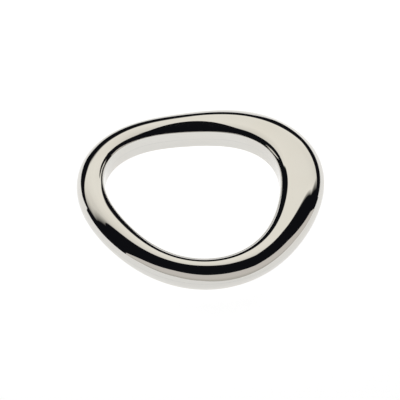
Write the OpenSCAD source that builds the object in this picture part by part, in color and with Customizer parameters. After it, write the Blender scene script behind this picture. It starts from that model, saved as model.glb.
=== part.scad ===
// Closed three-cornered bangle: a hollow polished ring made of two pressed half shells,
// soldered along their outer and inner edges, with the vent hole plugged underneath.
// Millimetres, +Z up, resting on z = 0, centred on its outline, wide corner towards +X.

/* [Ring] */
// Mean radius of the band's middle line
ring_r = 38.2; // [34:0.1:44]
// How far the three rounded corners stand out of a circle
lobe = 2.25; // [0:0.05:3]
// How far the ring is longer one way than the other
oval = 0.55; // [0:0.05:1.5]
// Direction of the longer way, degrees from the wide corner
oval_dir = -39; // [-90:1:90]
// Slight uneven bow of the hand-finished sides
bow = 0.25; // [0:0.05:0.5]
// Where the bow stands out, degrees from the wide corner
bow_dir = 15; // [-45:1:45]

/* [Band] */
// Mean width of the band, seen from above
band_w = 11.95; // [11:0.05:14]
// Width gained at the wide corner and lost on the far side
swell = 3.65; // [0:0.05:4]
// Width gained at two opposite places and lost between them
waist = 1.75; // [0:0.05:2]
// Direction of the places that gain width, degrees from the wide corner
waist_dir = -17; // [-90:1:90]
// Height of the band
band_h = 11.6; // [9:0.1:14]
// How far the crest lies outside the middle of the band
crest_out = 0.7; // [0:0.05:1]
// Straightness of the outer wall, where 2 is round and more is straighter
outer_full = 2.1; // [2:0.1:6]
// Straightness of the inner wall, which lies flatter against the wrist
inner_full = 6; // [2:0.1:7]

/* [Shells] */
// Thickness of the pressed sheet
wall = 1; // [0.8:0.1:1.4]
// Depth of the solder groove along the meeting edges
seam_depth = 0.4; // [0.2:0.05:0.5]
// Height of the solder groove on each shell
seam_rise = 0.25; // [0.15:0.05:0.4]

/* [Vent] */
// Diameter of the plugged vent hole
vent_d = 1.6; // [1:0.1:2.4]
// Length of the plug inside the cavity, past the sheet
vent_stub = 0.4; // [0.2:0.1:1]
// How far the filed plug stays above the resting face
vent_recess = 0.05; // [0.02:0.01:0.1]

/* [Smoothness] */
// Sections around the ring
ring_steps = 96; // [72:12:120]
// Points over the outside of a half section
arc_steps = 18; // [12:2:22]
// Points over the cavity of a half section
cavity_steps = 12; // [8:2:16]
// How points are shared between the walls and the crown, where more gives the crown more
spread = 3; // [2:0.5:4]

/* [Hidden] */

half_h = band_h / 2;
metal = [0.86, 0.85, 0.82];
solder = [0.80, 0.80, 0.79];
outer_side = 1;
inner_side = -1;
turns = [for (i = [0 : ring_steps - 1]) 360 * i / ring_steps];

// Middle line of the band as a polar curve, and how it changes with the turn in radians
function middle_r(u) =
    ring_r + oval * cos(2 * (u - oval_dir)) + lobe * cos(3 * u) + bow * cos(4 * (u - bow_dir));
function middle_slope(u) =
    -2 * oval * sin(2 * (u - oval_dir)) - 3 * lobe * sin(3 * u) - 4 * bow * sin(4 * (u - bow_dir));
function width(u) = band_w + swell * cos(u) + waist * cos(2 * (u - waist_dir));

// Unit direction in plan that points out of the ring, square to the middle line
function outward(u) =
    let (r = middle_r(u), s = middle_slope(u), size = norm([r, s]))
    [r * cos(u) + s * sin(u), r * sin(u) - s * cos(u)] / size;

// A point of the section at turn u, given its distance out of the middle line and its height
function place(u, out, z) =
    let (r = middle_r(u), p = [r * cos(u), r * sin(u)] + out * outward(u))
    [p.x, p.y, z];

// Half section above the seam plane, by the angle v from the outer edge over the crest:
// a round crown that runs into straighter walls
function side_of(v) = cos(v) >= 0 ? outer_side : inner_side;
function fullness(side) = side == outer_side ? outer_full : inner_full;
function levelness(v) = 1 / (1 + pow(abs(tan(v)), spread));
function reach(v) = side_of(v) * sqrt(levelness(v));
function rise(v) = pow(1 - levelness(v), 1 / fullness(side_of(v)));

// Distance from the crest to the outer or the inner edge
function half_width(u, side) = width(u) / 2 - side * crest_out;
function skin(u, v, inset) =
    place(u, crest_out + (half_width(u, side_of(v)) - inset) * reach(v), (half_h - inset) * rise(v));

// Angle at which a side of the outside has climbed to the top of the solder groove
function groove_v(side) =
    let (climb = pow(seam_rise / half_h, fullness(side)))
    atan(pow(climb / (1 - climb), 1 / spread));
skin_from = groove_v(outer_side);
skin_to = 180 - groove_v(inner_side);
function groove_lip(u, side) = skin(u, side == outer_side ? skin_from : skin_to, 0);
function groove_root(u, side) = place(u, side * (width(u) / 2 - seam_depth), 0);
function edge(u, side) = place(u, side * width(u) / 2, 0);
function below(p) = [p.x, p.y, -p.z];

// The outline's middle comes to the origin
rim = [for (u = turns) edge(u, outer_side)];
rim_x = [for (p = rim) p.x];
rim_y = [for (p = rim) p.y];
outline_mid = [max(rim_x) + min(rim_x), max(rim_y) + min(rim_y)] / 2;

// Closed solid through equal loops of points, one loop per turn
module ring_of(loops) {
    n = len(loops);
    m = len(loops[0]);
    corners = [for (i = [0 : n - 1], j = [0 : m - 1])
        let (i2 = (i + 1) % n, j2 = (j + 1) % m)
        [i * m + j, i * m + j2, i2 * m + j2, i2 * m + j]];
    sides = [for (c = corners, half = [0, 1]) half == 0 ? [c[0], c[1], c[2]] : [c[0], c[2], c[3]]];
    polyhedron(points = [for (loop = loops, p = loop) p], faces = sides, convexity = 6);
}

// One loop of a half shell: groove root, outside, groove root, then back over the cavity
function shell_loop(u) = concat(
    [groove_root(u, outer_side)],
    [for (k = [0 : arc_steps]) skin(u, skin_from + (skin_to - skin_from) * k / arc_steps, 0)],
    [groove_root(u, inner_side)],
    [for (k = [0 : cavity_steps]) skin(u, 180 - 180 * k / cavity_steps, wall)]);

// One loop of solder, filling the groove of both shells flush with the outside
function seam_loop(u, side) =
    let (lip = groove_lip(u, side), root = groove_root(u, side))
    side == outer_side ? [root, below(lip), edge(u, side), lip] : [root, lip, edge(u, side), below(lip)];

module at_seam() {
    translate([-outline_mid.x, -outline_mid.y, half_h]) children();
}

module half_shell() {
    ring_of([for (u = turns) shell_loop(u)]);
}

module solder_seam(side) {
    color(solder) at_seam() ring_of([for (u = turns) seam_loop(u, side)]);
}

// Vent under the crest of the wide corner
module vent_cylinder(from, to) {
    translate([middle_r(0) + crest_out - outline_mid.x, -outline_mid.y, from])
        cylinder(d = vent_d, h = to - from, $fn = 48);
}

module upper_shell() {
    color(metal) at_seam() half_shell();
}

module lower_shell() {
    color(metal) difference() {
        at_seam() mirror([0, 0, 1]) half_shell();
        vent_cylinder(-wall, 2 * wall);
    }
}

module outer_solder_seam() {
    solder_seam(outer_side);
}

module inner_solder_seam() {
    solder_seam(inner_side);
}

module vent_plug() {
    color(solder) vent_cylinder(vent_recess, wall + vent_stub);
}

upper_shell();
lower_shell();
outer_solder_seam();
inner_solder_seam();
vent_plug();
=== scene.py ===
"""Looks of a closed three-cornered bangle: two polished half shells, their solder and the vent plug."""
import math

import bpy
from mathutils import Matrix, Vector


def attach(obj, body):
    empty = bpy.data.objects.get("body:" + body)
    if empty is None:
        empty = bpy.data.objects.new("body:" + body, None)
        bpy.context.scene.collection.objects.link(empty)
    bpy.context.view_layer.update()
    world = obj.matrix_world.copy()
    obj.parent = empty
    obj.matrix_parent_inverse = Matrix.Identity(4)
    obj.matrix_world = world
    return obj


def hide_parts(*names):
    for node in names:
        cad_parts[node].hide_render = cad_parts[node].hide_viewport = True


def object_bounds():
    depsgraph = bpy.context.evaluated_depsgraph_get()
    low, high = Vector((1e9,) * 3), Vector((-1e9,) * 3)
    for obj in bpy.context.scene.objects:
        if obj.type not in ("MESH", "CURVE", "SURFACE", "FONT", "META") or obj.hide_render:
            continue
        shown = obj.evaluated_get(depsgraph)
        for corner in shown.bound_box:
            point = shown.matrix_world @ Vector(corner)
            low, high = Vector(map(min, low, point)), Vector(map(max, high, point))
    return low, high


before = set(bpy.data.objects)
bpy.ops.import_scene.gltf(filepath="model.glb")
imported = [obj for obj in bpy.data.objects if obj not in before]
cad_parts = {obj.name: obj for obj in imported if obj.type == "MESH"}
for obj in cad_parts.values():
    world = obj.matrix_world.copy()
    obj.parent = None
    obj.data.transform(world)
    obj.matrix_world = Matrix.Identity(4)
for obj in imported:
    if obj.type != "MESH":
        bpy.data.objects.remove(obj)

CAD_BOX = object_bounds()
MM = 0.001
TURN = 2 * math.pi

# The band's sizes as in the solids: millimetres, degrees from the wide corner, and plain numbers
LENGTHS = {
    "Ring radius": 38.2, "Oval": 0.55, "Lobe": 2.25, "Bow": 0.25, "Band width": 11.95, "Swell": 3.65,
    "Waist": 1.75, "Band height": 11.6, "Crest": 0.7,
}
ANGLES = {"Oval direction": -39, "Bow direction": 15, "Waist direction": -17}
FULLNESS = {"Outer fullness": 2.1, "Inner fullness": 6, "Spread": 3}
WALL = 1
SEAM_DEPTH = 0.4
SEAM_RISE = 0.25

# The vent's cutter is the plug, lowered and then stretched up and down so that it passes through the sheet
CUTTER_DROP = 0.7
CUTTER_STRETCH = 4

# Fineness of the polished surface: sections around the ring, and points over a shell, its cavity and a seam
RING_STEPS = 360
SHELL_STEPS = 160
CAVITY_STEPS = 24
SEAM_STEPS = 6

# Edges that turn by more than this stay sharp, and points closer than this, in metres, are one
SHARP_DEG = 35
SAME_PLACE = 1e-7

# Patterns of the finishes in millimetres, with the lengths around the ring and around the section that the
# mop's lines are laid out on
RING_LENGTH = 242
SECTION_LENGTH = 40
PLATE_CLOUD = 15
HAZE_PATCH = 6
MOP_LINE = 9
MOP_GAP = 0.3
MOP_DEPTH = 0.0001
SOLDER_GRAIN = 0.4
SOLDER_DEPTH = 0.0003

# The photograph's camera: direction of the wide corner in the picture, height angle, distance and framing
PICTURE_PX = 400
WIDE_CORNER_DEG = 39.6
CAMERA_RISE_DEG = 46
CAMERA_DISTANCE = 444
FOCAL_PX = 1200
SENSOR = 36
RING_MIDDLE_PX = (199.3, 204.1)

# The studio, in millimetres to the picture's right, away from the camera and up, from under the ring.
# The light is dark along its rim, and each corner of its core has a share of the full glow.
LIGHT_HEIGHT = 135
LIGHT_STRENGTH = 1.11
LIGHT_RIM = (
    (-700, 45), (-210, 5), (-60, 52), (-14, 46), (0, 46), (16, 14), (55, 12), (42, 86), (172, 114),
    (310, 195), (165, 328), (25, 206), (-34, 140), (-700, 166))
LIGHT_CORE = (
    (-150, 75, 0.8), (-146, 60, 0.75), (-57, 58, 0.75), (-16, 54, 0.75), (4, 54, 0.8),
    (22, 22, 0.75), (51, 17, 0.75), (39, 92, 0.95), (155, 124, 0.95), (260, 225, 0.8),
    (158, 308, 0.95), (27, 200, 1), (-32, 134, 0.95), (-154, 138, 0.9))

# A small black oval hangs close above the ring
OVAL_HEIGHT = 40
OVAL_MIDDLE = (-2, 32)
OVAL_REACH = (13, 20)
OVAL_STEPS = 48

# The grey card rises from near the ring and glows with painted light, and painted shade darkens its foot,
# over a small share of the way up
CARD_FOOT = ((-42, -37), (-36, -46), (-15, -55), (0, -55), (35, -43), (90, -26), (180, 45))
CARD_FOOT_HEIGHT = 0.6
CARD_TOP = (
    (-51, -40, 1), (-190, -142, 18), (-110, -210, 52), (0, -244, 35), (170, -165, 32), (234, -26, 100),
    (229, 58, 58))
CARD_SHADE = 0.05

# The black sheet lies just above the paper, from the ring's front left outwards
SHEET_HEIGHT = 0.3
SHEET_CORNERS = ((-38, -45), (-44, -35), (-56, -22), (-88, 2), (-1190, 322), (-1190, -774))

# The white paper's glow as the camera sees it and as the metal shows it, and its reach
PAPER_SEEN = 0.97
PAPER_SHOWN = 0.92
TABLE_REACH = 1150

# The backdrop's distance and upper edge, and the drapes' reach
BACKDROP_AWAY = 600
BACKDROP_TOP = ((-1150, 40), (-420, 70), (-300, 170), (90, 170), (160, 40), (1150, 80))
DRAPE_REACH = 1200

MATH = "ShaderNodeMath"
VECTOR = "ShaderNodeVectorMath"
MIX = "ShaderNodeMix"
RANGE = "ShaderNodeMapRange"
NOISE = "ShaderNodeTexNoise"

# Sockets of a mix by place, because its numbers and its colours have the same names
SHARE = 0
NUMBER_A = 2
NUMBER_B = 3
COLOUR_A = 6
COLOUR_B = 7
COLOUR_OUT = 2


def linear(hex_colour):
    """Linear red, green, blue and a full alpha from an sRGB hex colour."""
    parts = [int(hex_colour[i:i + 2], 16) / 255 for i in (1, 3, 5)]
    return [c / 12.92 if c <= 0.04045 else ((c + 0.055) / 1.055) ** 2.4 for c in parts] + [1]


def add_node(tree, kind, feeds=(), **settings):
    """Adds a node with its settings. Values, sockets or whole nodes feed its inputs, by place or by name."""
    node = tree.nodes.new(kind)
    for name, value in settings.items():
        setattr(node, name, value)
    for socket, feed in feeds.items() if isinstance(feeds, dict) else enumerate(feeds):
        if isinstance(feed, bpy.types.Node):
            feed = feed.outputs[0]
        if isinstance(feed, bpy.types.NodeSocket):
            tree.links.new(feed, node.inputs[socket])
        else:
            node.inputs[socket].default_value = feed
    return node


def add_wave(tree, base, height, turn, times, ahead):
    """A base with waves that stand out of it so many times around the ring, the first at the turn ahead."""
    angle = add_node(tree, MATH, [turn, ahead], operation="SUBTRACT")
    angle = add_node(tree, MATH, [angle, times], operation="MULTIPLY")
    wave = add_node(tree, MATH, [angle], operation="COSINE")
    return add_node(tree, MATH, [wave, height, base], operation="MULTIPLY_ADD")


def add_middle_line(tree, size, turn):
    """Point of the band's three-cornered middle line at a turn."""
    radius = add_wave(tree, size["Ring radius"], size["Oval"], turn, 2, size["Oval direction"])
    radius = add_wave(tree, radius, size["Lobe"], turn, 3, 0)
    radius = add_wave(tree, radius, size["Bow"], turn, 4, size["Bow direction"])
    spoke = add_node(tree, "ShaderNodeCombineXYZ", [radius])
    return add_node(tree, "ShaderNodeVectorRotate", {"Vector": spoke, "Angle": turn}, rotation_type="Z_AXIS")


def add_outward(tree, size, turn):
    """Level direction out of the ring, square to the middle line, from two close points on it."""
    step = 0.01
    ahead = add_middle_line(tree, size, add_node(tree, MATH, [turn, step], operation="ADD"))
    behind = add_middle_line(tree, size, add_node(tree, MATH, [turn, step], operation="SUBTRACT"))
    along = add_node(tree, VECTOR, [ahead, behind], operation="SUBTRACT")
    aside = add_node(tree, VECTOR, [along, (0, 0, 1)], operation="CROSS_PRODUCT")
    return add_node(tree, VECTOR, [aside], operation="NORMALIZE")


def add_section(tree, size, turn, angle, depth):
    """Distance out of the middle line and height in the section: a round crown over straighter walls."""
    across = add_node(tree, MATH, [angle], operation="COSINE")
    upward = add_node(tree, MATH, [angle], operation="SINE")
    side = add_node(tree, MATH, [across], operation="SIGN")
    half = add_node(tree, MATH, [upward], operation="SIGN")
    flat = add_node(tree, MATH, [across], operation="ABSOLUTE")
    flat = add_node(tree, MATH, [flat, size["Spread"]], operation="POWER")
    steep = add_node(tree, MATH, [upward], operation="ABSOLUTE")
    steep = add_node(tree, MATH, [steep, size["Spread"]], operation="POWER")
    whole = add_node(tree, MATH, [flat, steep], operation="ADD")
    reach = add_node(tree, MATH, [flat, whole], operation="DIVIDE")
    reach = add_node(tree, MATH, [reach], operation="SQRT")
    outer = add_node(tree, MATH, [across, 0], operation="GREATER_THAN")
    full = add_node(tree, MIX, {
        SHARE: outer, NUMBER_A: size["Inner fullness"], NUMBER_B: size["Outer fullness"]})
    power = add_node(tree, MATH, [1, full], operation="DIVIDE")
    rise = add_node(tree, MATH, [steep, whole], operation="DIVIDE")
    rise = add_node(tree, MATH, [rise, power], operation="POWER")
    rise = add_node(tree, MATH, [rise, half], operation="MULTIPLY")

    width = add_wave(tree, size["Band width"], size["Swell"], turn, 1, 0)
    width = add_wave(tree, width, size["Waist"], turn, 2, size["Waist direction"])
    lean = add_node(tree, MATH, [side, size["Crest"], depth], operation="MULTIPLY_ADD")
    room = add_node(tree, MATH, [width, 0.5], operation="MULTIPLY")
    room = add_node(tree, MATH, [room, lean], operation="SUBTRACT")
    room = add_node(tree, MATH, [room, reach], operation="MULTIPLY")
    out = add_node(tree, MATH, [room, side, size["Crest"]], operation="MULTIPLY_ADD")
    top = add_node(tree, MATH, [size["Band height"], 0.5], operation="MULTIPLY")
    top = add_node(tree, MATH, [top, depth], operation="SUBTRACT")
    return out, add_node(tree, MATH, [top, rise], operation="MULTIPLY")


def band_tree():
    """Closed ring swept from a front arc of the section and a deeper arc behind it."""
    tree = bpy.data.node_groups.new("band_skin", "GeometryNodeTree")
    inputs = (
        ("NodeSocketInt", ("Ring steps", "Front steps", "Back steps")),
        ("NodeSocketFloat", ("Front from", "Front to", "Back from", "Back to", "Back depth")),
        ("NodeSocketFloat", tuple(LENGTHS) + tuple(ANGLES) + tuple(FULLNESS)),
        ("NodeSocketMaterial", ("Finish",)),
    )
    for kind, names in inputs:
        for name in names:
            tree.interface.new_socket(name, in_out="INPUT", socket_type=kind)
    tree.interface.new_socket("Band", in_out="OUTPUT", socket_type="NodeSocketGeometry")
    size = add_node(tree, "NodeGroupInput").outputs

    # A flat sheet whose columns go around the ring and whose rows go around the section
    rows = add_node(tree, MATH, [size["Front steps"], size["Back steps"]], operation="ADD")
    rows = add_node(tree, MATH, [rows, 2], operation="ADD")
    sheet = add_node(tree, "GeometryNodeMeshGrid", {
        "Vertices X": add_node(tree, MATH, [size["Ring steps"], 1], operation="ADD"),
        "Vertices Y": add_node(tree, MATH, [rows, 1], operation="ADD")})
    spot = add_node(tree, "ShaderNodeSeparateXYZ", [sheet.outputs["UV Map"]])
    turn = add_node(tree, MATH, [spot.outputs["X"], TURN], operation="MULTIPLY")
    row = add_node(tree, MATH, [spot.outputs["Y"], rows], operation="MULTIPLY")
    row = add_node(tree, MATH, [row], operation="ROUND")
    row = add_node(tree, MATH, [row, rows], operation="MODULO")

    # Angle in the section and depth below the skin, along the front arc and then the arc behind it. The
    # sliver gives the arc behind a range to map from where it is a single point.
    sliver = 0.001
    back_row = add_node(tree, MATH, [row, size["Front steps"]], operation="SUBTRACT")
    front = add_node(tree, MATH, [back_row, 0.5], operation="LESS_THAN")
    ahead = add_node(tree, RANGE, {
        "Value": row, "From Max": size["Front steps"],
        "To Min": size["Front from"], "To Max": size["Front to"]})
    back_end = add_node(tree, MATH, [size["Back steps"], 1 + sliver], operation="ADD")
    behind = add_node(tree, RANGE, {
        "Value": back_row, "From Min": 1, "From Max": back_end,
        "To Min": size["Back from"], "To Max": size["Back to"]})
    angle = add_node(tree, MIX, {SHARE: front, NUMBER_A: behind, NUMBER_B: ahead})
    depth = add_node(tree, MIX, {SHARE: front, NUMBER_A: size["Back depth"], NUMBER_B: 0.0})

    # Every point of the sheet goes to its place, and the loops close
    out, height = add_section(tree, size, turn, angle, depth)
    outward = add_outward(tree, size, turn)
    place = add_node(tree, VECTOR, {"Vector": outward, "Scale": out}, operation="SCALE")
    place = add_node(tree, VECTOR, [place, add_middle_line(tree, size, turn)], operation="ADD")
    lift = add_node(tree, "ShaderNodeCombineXYZ", {"Z": height})
    place = add_node(tree, VECTOR, [place, lift], operation="ADD")
    band = add_node(
        tree, "GeometryNodeStoreNamedAttribute",
        {"Geometry": sheet, "Name": "UVMap", "Value": sheet.outputs["UV Map"]},
        data_type="FLOAT2", domain="CORNER")
    band = add_node(tree, "GeometryNodeSetPosition", {"Geometry": band, "Position": place})
    band = add_node(tree, "GeometryNodeMergeByDistance", {"Geometry": band, "Distance": SAME_PLACE})
    band = add_node(tree, "GeometryNodeSetShadeSmooth", {"Geometry": band})
    band = add_node(tree, "GeometryNodeRealizeInstances", {"Geometry": band})
    band = add_node(tree, "GeometryNodeSetMaterial", {"Geometry": band, "Material": size["Finish"]})
    add_node(tree, "NodeGroupOutput", [band])
    return tree


def plain_mesh(piece):
    """Turns what a piece's modifiers make into its plain mesh, with its corners kept sharp."""
    graph = bpy.context.evaluated_depsgraph_get()
    mesh = bpy.data.meshes.new_from_object(piece.evaluated_get(graph))
    piece.modifiers.clear()
    piece.data = mesh
    mesh.name = piece.name
    mesh.set_sharp_from_angle(angle=math.radians(SHARP_DEG))


def band_piece(name, tree, front, back, finish):
    """A ring from two arcs of the section: first angle, last angle and steps, and for back its depth too."""
    values = {
        "Ring steps": RING_STEPS, "Front steps": front[2], "Back steps": back[2], "Finish": finish,
        "Front from": math.radians(front[0]), "Front to": math.radians(front[1]),
        "Back from": math.radians(back[0]), "Back to": math.radians(back[1]), "Back depth": back[3] * MM,
        **{key: length * MM for key, length in LENGTHS.items()},
        **{key: math.radians(angle) for key, angle in ANGLES.items()},
        **FULLNESS,
    }
    piece = bpy.data.objects.new(name, bpy.data.meshes.new(name))
    bpy.context.scene.collection.objects.link(piece)
    modifier = piece.modifiers.new("band", "NODES")
    modifier.node_group = tree
    for socket in tree.interface.items_tree:
        if socket.in_out == "INPUT":
            modifier[socket.identifier] = values[socket.name]
    plain_mesh(piece)
    return piece


def groove_angle(side):
    """Angle in degrees at which a side of the section has climbed to the top of the solder groove."""
    climb = (SEAM_RISE / (LENGTHS["Band height"] / 2)) ** FULLNESS[side]
    return math.degrees(math.atan((climb / (1 - climb)) ** (1 / FULLNESS["Spread"])))


def new_material(name):
    """A new material and its node tree."""
    material = bpy.data.materials.new(name)
    material.use_nodes = True
    return material, material.node_tree


def buffed_plate():
    """Rhodium plate over buffed metal: a clear, slightly warm mirror, with a faint haze and mop lines."""
    finish, tree = new_material("rhodium_plate_mop_buffed")
    shader = tree.nodes["Principled BSDF"]
    shader.inputs["Metallic"].default_value = 1
    spot = add_node(tree, "ShaderNodeTexCoord").outputs

    # Thin plating differs a little in tone from place to place
    cloud = add_node(tree, NOISE, {"Vector": spot["Object"], "Scale": 1 / (PLATE_CLOUD * MM), "Detail": 1})
    tone = add_node(
        tree, MIX, {SHARE: cloud, COLOUR_A: linear("#dbdad6"), COLOUR_B: linear("#d8d5cf")}, data_type="RGBA")
    tree.links.new(tone.outputs[COLOUR_OUT], shader.inputs["Base Color"])

    # Handling leaves a haze in patches
    haze = add_node(tree, NOISE, {"Vector": spot["Object"], "Scale": 1 / (HAZE_PATCH * MM), "Detail": 3})
    haze = add_node(tree, RANGE, {
        "Value": haze, "From Min": 0.3, "From Max": 0.7, "To Min": 0.015, "To Max": 0.045})
    tree.links.new(haze.outputs[0], shader.inputs["Roughness"])

    # The mop leaves lines along the band, drawn coarser than real ones to show at all
    stretch = (RING_LENGTH / MOP_LINE, SECTION_LENGTH / MOP_GAP, 1)
    lines = add_node(tree, "ShaderNodeMapping", {"Vector": spot["UV"], "Scale": stretch})
    lines = add_node(tree, NOISE, {"Vector": lines, "Scale": 1, "Detail": 2}, noise_dimensions="2D")
    dents = add_node(tree, "ShaderNodeBump", {"Height": lines, "Strength": 1, "Distance": MOP_DEPTH * MM})
    tree.links.new(dents.outputs[0], shader.inputs["Normal"])
    return finish


def flush_solder():
    """Silver solder polished flush with the sheet: nearly as clear a mirror, greyer and finely grained."""
    finish, tree = new_material("silver_solder_polished_flush")
    shader = tree.nodes["Principled BSDF"]
    shader.inputs["Metallic"].default_value = 1
    spot = add_node(tree, "ShaderNodeTexCoord").outputs
    grain = add_node(tree, NOISE, {"Vector": spot["Object"], "Scale": 1 / (SOLDER_GRAIN * MM), "Detail": 2})
    tone = add_node(
        tree, MIX, {SHARE: grain, COLOUR_A: linear("#dad9d5"), COLOUR_B: linear("#d3d1cc")}, data_type="RGBA")
    tree.links.new(tone.outputs[COLOUR_OUT], shader.inputs["Base Color"])
    worn = add_node(tree, RANGE, {
        "Value": grain, "From Min": 0.3, "From Max": 0.7, "To Min": 0.03, "To Max": 0.09})
    tree.links.new(worn.outputs[0], shader.inputs["Roughness"])
    pits = add_node(tree, "ShaderNodeBump", {"Height": grain, "Strength": 1, "Distance": SOLDER_DEPTH * MM})
    tree.links.new(pits.outputs[0], shader.inputs["Normal"])
    return finish


def glowing(name, rim_colour, colour, strength=1):
    """A stage panel's own light, from one colour at the rim to another where the panel glows in full. On the
    grey card, the rim colour is painted shade at its foot.
    """
    light, tree = new_material(name)
    tree.nodes.clear()
    share = add_node(tree, "ShaderNodeAttribute", attribute_name="glow").outputs["Fac"]
    tone = add_node(
        tree, MIX, {SHARE: share, COLOUR_A: linear(rim_colour), COLOUR_B: linear(colour)}, data_type="RGBA")
    shine = add_node(tree, "ShaderNodeEmission", {"Color": tone.outputs[COLOUR_OUT], "Strength": strength})
    add_node(tree, "ShaderNodeOutputMaterial", [shine])
    return light


def white_paper():
    """Matt white paper: white to the eye and in the metal, with the ring's soft shadow kept."""
    paper, tree = new_material("white_paper_matt")
    tree.nodes.clear()
    ray = add_node(tree, "ShaderNodeLightPath").outputs
    shown = add_node(tree, MATH, [ray["Is Glossy Ray"], ray["Is Transmission Ray"]], operation="MAXIMUM")
    shown = add_node(tree, MATH, [shown, PAPER_SHOWN], operation="MULTIPLY")
    seen = add_node(tree, MATH, [ray["Is Camera Ray"], PAPER_SEEN], operation="MULTIPLY")
    glow = add_node(tree, MATH, [seen, shown], operation="MAXIMUM")
    lit = add_node(tree, "ShaderNodeBsdfDiffuse", {"Color": linear("#b4b4b4")})
    shine = add_node(tree, "ShaderNodeEmission", {"Color": linear("#ffffff"), "Strength": glow})
    both = add_node(tree, "ShaderNodeAddShader", [lit, shine])
    add_node(tree, "ShaderNodeOutputMaterial", [both])
    return paper


def in_studio(right, away, up):
    """A point of the studio in the part's frame."""
    lie = Matrix.Rotation(math.radians(-WIDE_CORNER_DEG), 3, "Z")
    return lie @ Vector((right, away, up)) * MM + ring_middle


def panel(name, corners, faces, material, glow=()):
    """A stage panel through corners of the studio, with the share of full glow at each corner."""
    mesh = bpy.data.meshes.new(name)
    mesh.from_pydata([in_studio(*corner) for corner in corners], [], faces)
    mesh.materials.append(material)
    if glow:
        mesh.attributes.new("glow", "FLOAT", "POINT").data.foreach_set("value", glow)
    sheet = bpy.data.objects.new(name, mesh)
    bpy.context.scene.collection.objects.link(sheet)
    return sheet


def strip(first, count, closed=False):
    """Faces between two equal rows of corners that follow each other from the first corner."""
    row = range(first, first + count)
    sides = [(row[i], row[(i + 1) % count]) for i in range(count if closed else count - 1)]
    return [(here, there, there + count, here + count) for here, there in sides]


def at_height(outline, height):
    """Corners of an outline at a height."""
    return [(right, away, height) for right, away in outline]


def square(reach):
    """Outline of a level square about the ring's middle."""
    return [(-reach, -reach), (reach, -reach), (reach, reach), (-reach, reach)]


def oval(middle, reach):
    """Outline of a level oval about a middle point, with its reach to the right and away."""
    turns = [TURN * step / OVAL_STEPS for step in range(OVAL_STEPS)]
    return [(middle[0] + reach[0] * math.cos(turn), middle[1] + reach[1] * math.sin(turn)) for turn in turns]


def cut_vent(shell, plug):
    """Opens the vent hole with the plug's own outline, so that the plug shows from below."""
    cutter = bpy.data.objects.new("vent_cutter", plug.data.copy())
    lower_it = Matrix.Translation((0, 0, -CUTTER_DROP * MM))
    cutter.data.transform(Matrix.Scale(CUTTER_STRETCH, 4, (0, 0, 1)) @ lower_it)
    bpy.context.scene.collection.objects.link(cutter)
    cut = shell.modifiers.new("vent", "BOOLEAN")
    cut.object = cutter
    plain_mesh(shell)
    bpy.data.objects.remove(cutter)


# The band's pieces, made about the middle line's centre and then brought to the solids' place
plate = buffed_plate()
solder = flush_solder()
band = band_tree()
outer_lip = groove_angle("Outer fullness")
inner_lip = groove_angle("Inner fullness")
upper = band_piece(
    "upper_skin", band,
    (outer_lip, 180 - inner_lip, SHELL_STEPS), (180, 0, CAVITY_STEPS, WALL), plate)
lower = band_piece(
    "lower_skin", band,
    (180 + inner_lip, 360 - outer_lip, SHELL_STEPS), (360, 180, CAVITY_STEPS, WALL), plate)
outer_fill = band_piece(
    "outer_seam_fill", band,
    (-outer_lip, outer_lip, SEAM_STEPS), (0, 0, 0, SEAM_DEPTH), solder)
inner_fill = band_piece(
    "inner_seam_fill", band,
    (180 - inner_lip, 180 + inner_lip, SEAM_STEPS), (180, 180, 0, SEAM_DEPTH), solder)
places = [point.co for point in upper.data.vertices]
made_middle = [(min(p[axis] for p in places) + max(p[axis] for p in places)) / 2 for axis in (0, 1)]
middle = (CAD_BOX[0] + CAD_BOX[1]) / 2
ring_middle = Vector((middle.x - made_middle[0], middle.y - made_middle[1], 0))
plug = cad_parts["vent_plug"]
plug.data.materials.clear()
plug.data.materials.append(solder)
for piece, node, slot in (
        (upper, "upper_shell", "polished_metal"), (lower, "lower_shell", "polished_metal"),
        (outer_fill, "outer_solder_seam", "solder"), (inner_fill, "inner_solder_seam", "solder")):
    piece.data.transform(Matrix.Translation(ring_middle + Vector((0, 0, middle.z))))
    if piece == lower:
        cut_vent(lower, plug)
    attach(piece, "root")
    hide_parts(node)

# Studio: white paper with a low backdrop inside dark drapes, a soft light above and behind that fades at its
# ends, and near the ring an oval and a sheet of black and a rising grey card. All but the table is hidden
# from the camera.
black = glowing("black_cloth", "#121317", "#121317")
paper = white_paper()
panel("table", at_height(square(TABLE_REACH), 0), [(0, 1, 2, 3)], paper)
backdrop_foot = [(right, BACKDROP_AWAY, 0) for right, up in BACKDROP_TOP]
backdrop_top = [(right, BACKDROP_AWAY, up) for right, up in BACKDROP_TOP]
backdrop = panel("backdrop", backdrop_foot + backdrop_top, strip(0, len(BACKDROP_TOP)), paper)
ends = len(LIGHT_RIM)
light_core = [(right, away) for right, away, glow in LIGHT_CORE]
light = panel(
    "soft_light", at_height(LIGHT_RIM, LIGHT_HEIGHT) + at_height(light_core, LIGHT_HEIGHT),
    strip(0, ends, closed=True) + [tuple(range(ends, 2 * ends))],
    glowing("cream_diffuser", "#000000", "#fffcf4", LIGHT_STRENGTH),
    [0] * ends + [glow for right, away, glow in LIGHT_CORE])
# The card's glow is painted light, and its darker foot colour is painted shade where it meets the paper
ribs = len(CARD_FOOT)
card_foot = at_height(CARD_FOOT, CARD_FOOT_HEIGHT)
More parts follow.
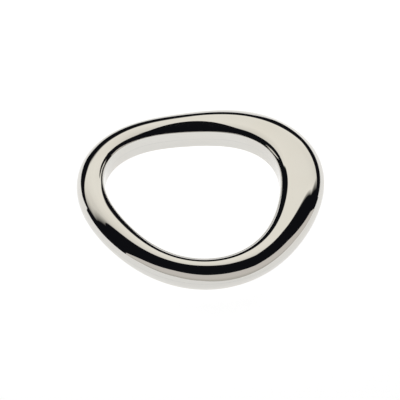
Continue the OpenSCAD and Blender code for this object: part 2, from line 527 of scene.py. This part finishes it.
card_shade = [Vector(low).lerp(Vector(high), CARD_SHADE) for low, high in zip(card_foot, CARD_TOP)]
card = panel(
    "front_card", card_foot + card_shade + list(CARD_TOP), strip(0, ribs) + strip(ribs, ribs),
    glowing("grey_card_painted_glow_foot_shade", "#c1bfb9", "#dcd7d3"), [0] * ribs + [1] * 2 * ribs)
black_sheet = panel(
    "black_sheet", at_height(SHEET_CORNERS, SHEET_HEIGHT), [tuple(range(len(SHEET_CORNERS)))], black)
black_oval = panel(
    "black_oval", at_height(oval(OVAL_MIDDLE, OVAL_REACH), OVAL_HEIGHT), [tuple(range(OVAL_STEPS))], black)
drape_square = square(DRAPE_REACH)
drape = panel(
    "dark_drape", at_height(drape_square, -DRAPE_REACH) + at_height(drape_square, DRAPE_REACH),
    strip(0, 4, closed=True) + [(0, 1, 2, 3), (4, 5, 6, 7)], black)
for sheet in (backdrop, light, card, black_sheet, black_oval, drape):
    sheet.visible_camera = False

# What stands near the ring shows in the metal, and takes no light from the paper
for sheet in (card, black_sheet, black_oval):
    sheet.visible_diffuse = False
    sheet.visible_shadow = False

# A low view looks past the table's edge into a white room
world = bpy.data.worlds.new("white_room")
bpy.context.scene.world = world
world.use_nodes = True
world.node_tree.nodes["Background"].inputs["Color"].default_value = linear("#ffffff")

# Camera
lens = bpy.data.cameras.new("camera")
lens.sensor_width = SENSOR
lens.lens = FOCAL_PX / PICTURE_PX * SENSOR
lens.shift_x = (PICTURE_PX / 2 - RING_MIDDLE_PX[0]) / PICTURE_PX
lens.shift_y = (RING_MIDDLE_PX[1] - PICTURE_PX / 2) / PICTURE_PX
camera = bpy.data.objects.new("camera", lens)
bpy.context.scene.collection.objects.link(camera)
camera_rise = math.radians(CAMERA_RISE_DEG)
camera.location = in_studio(
    0, -CAMERA_DISTANCE * math.cos(camera_rise), CAMERA_DISTANCE * math.sin(camera_rise))
camera.rotation_euler = (ring_middle - camera.location).to_track_quat("-Z", "Y").to_euler()
bpy.context.scene.camera = camera
bpy.context.scene.view_settings.view_transform = "Standard"
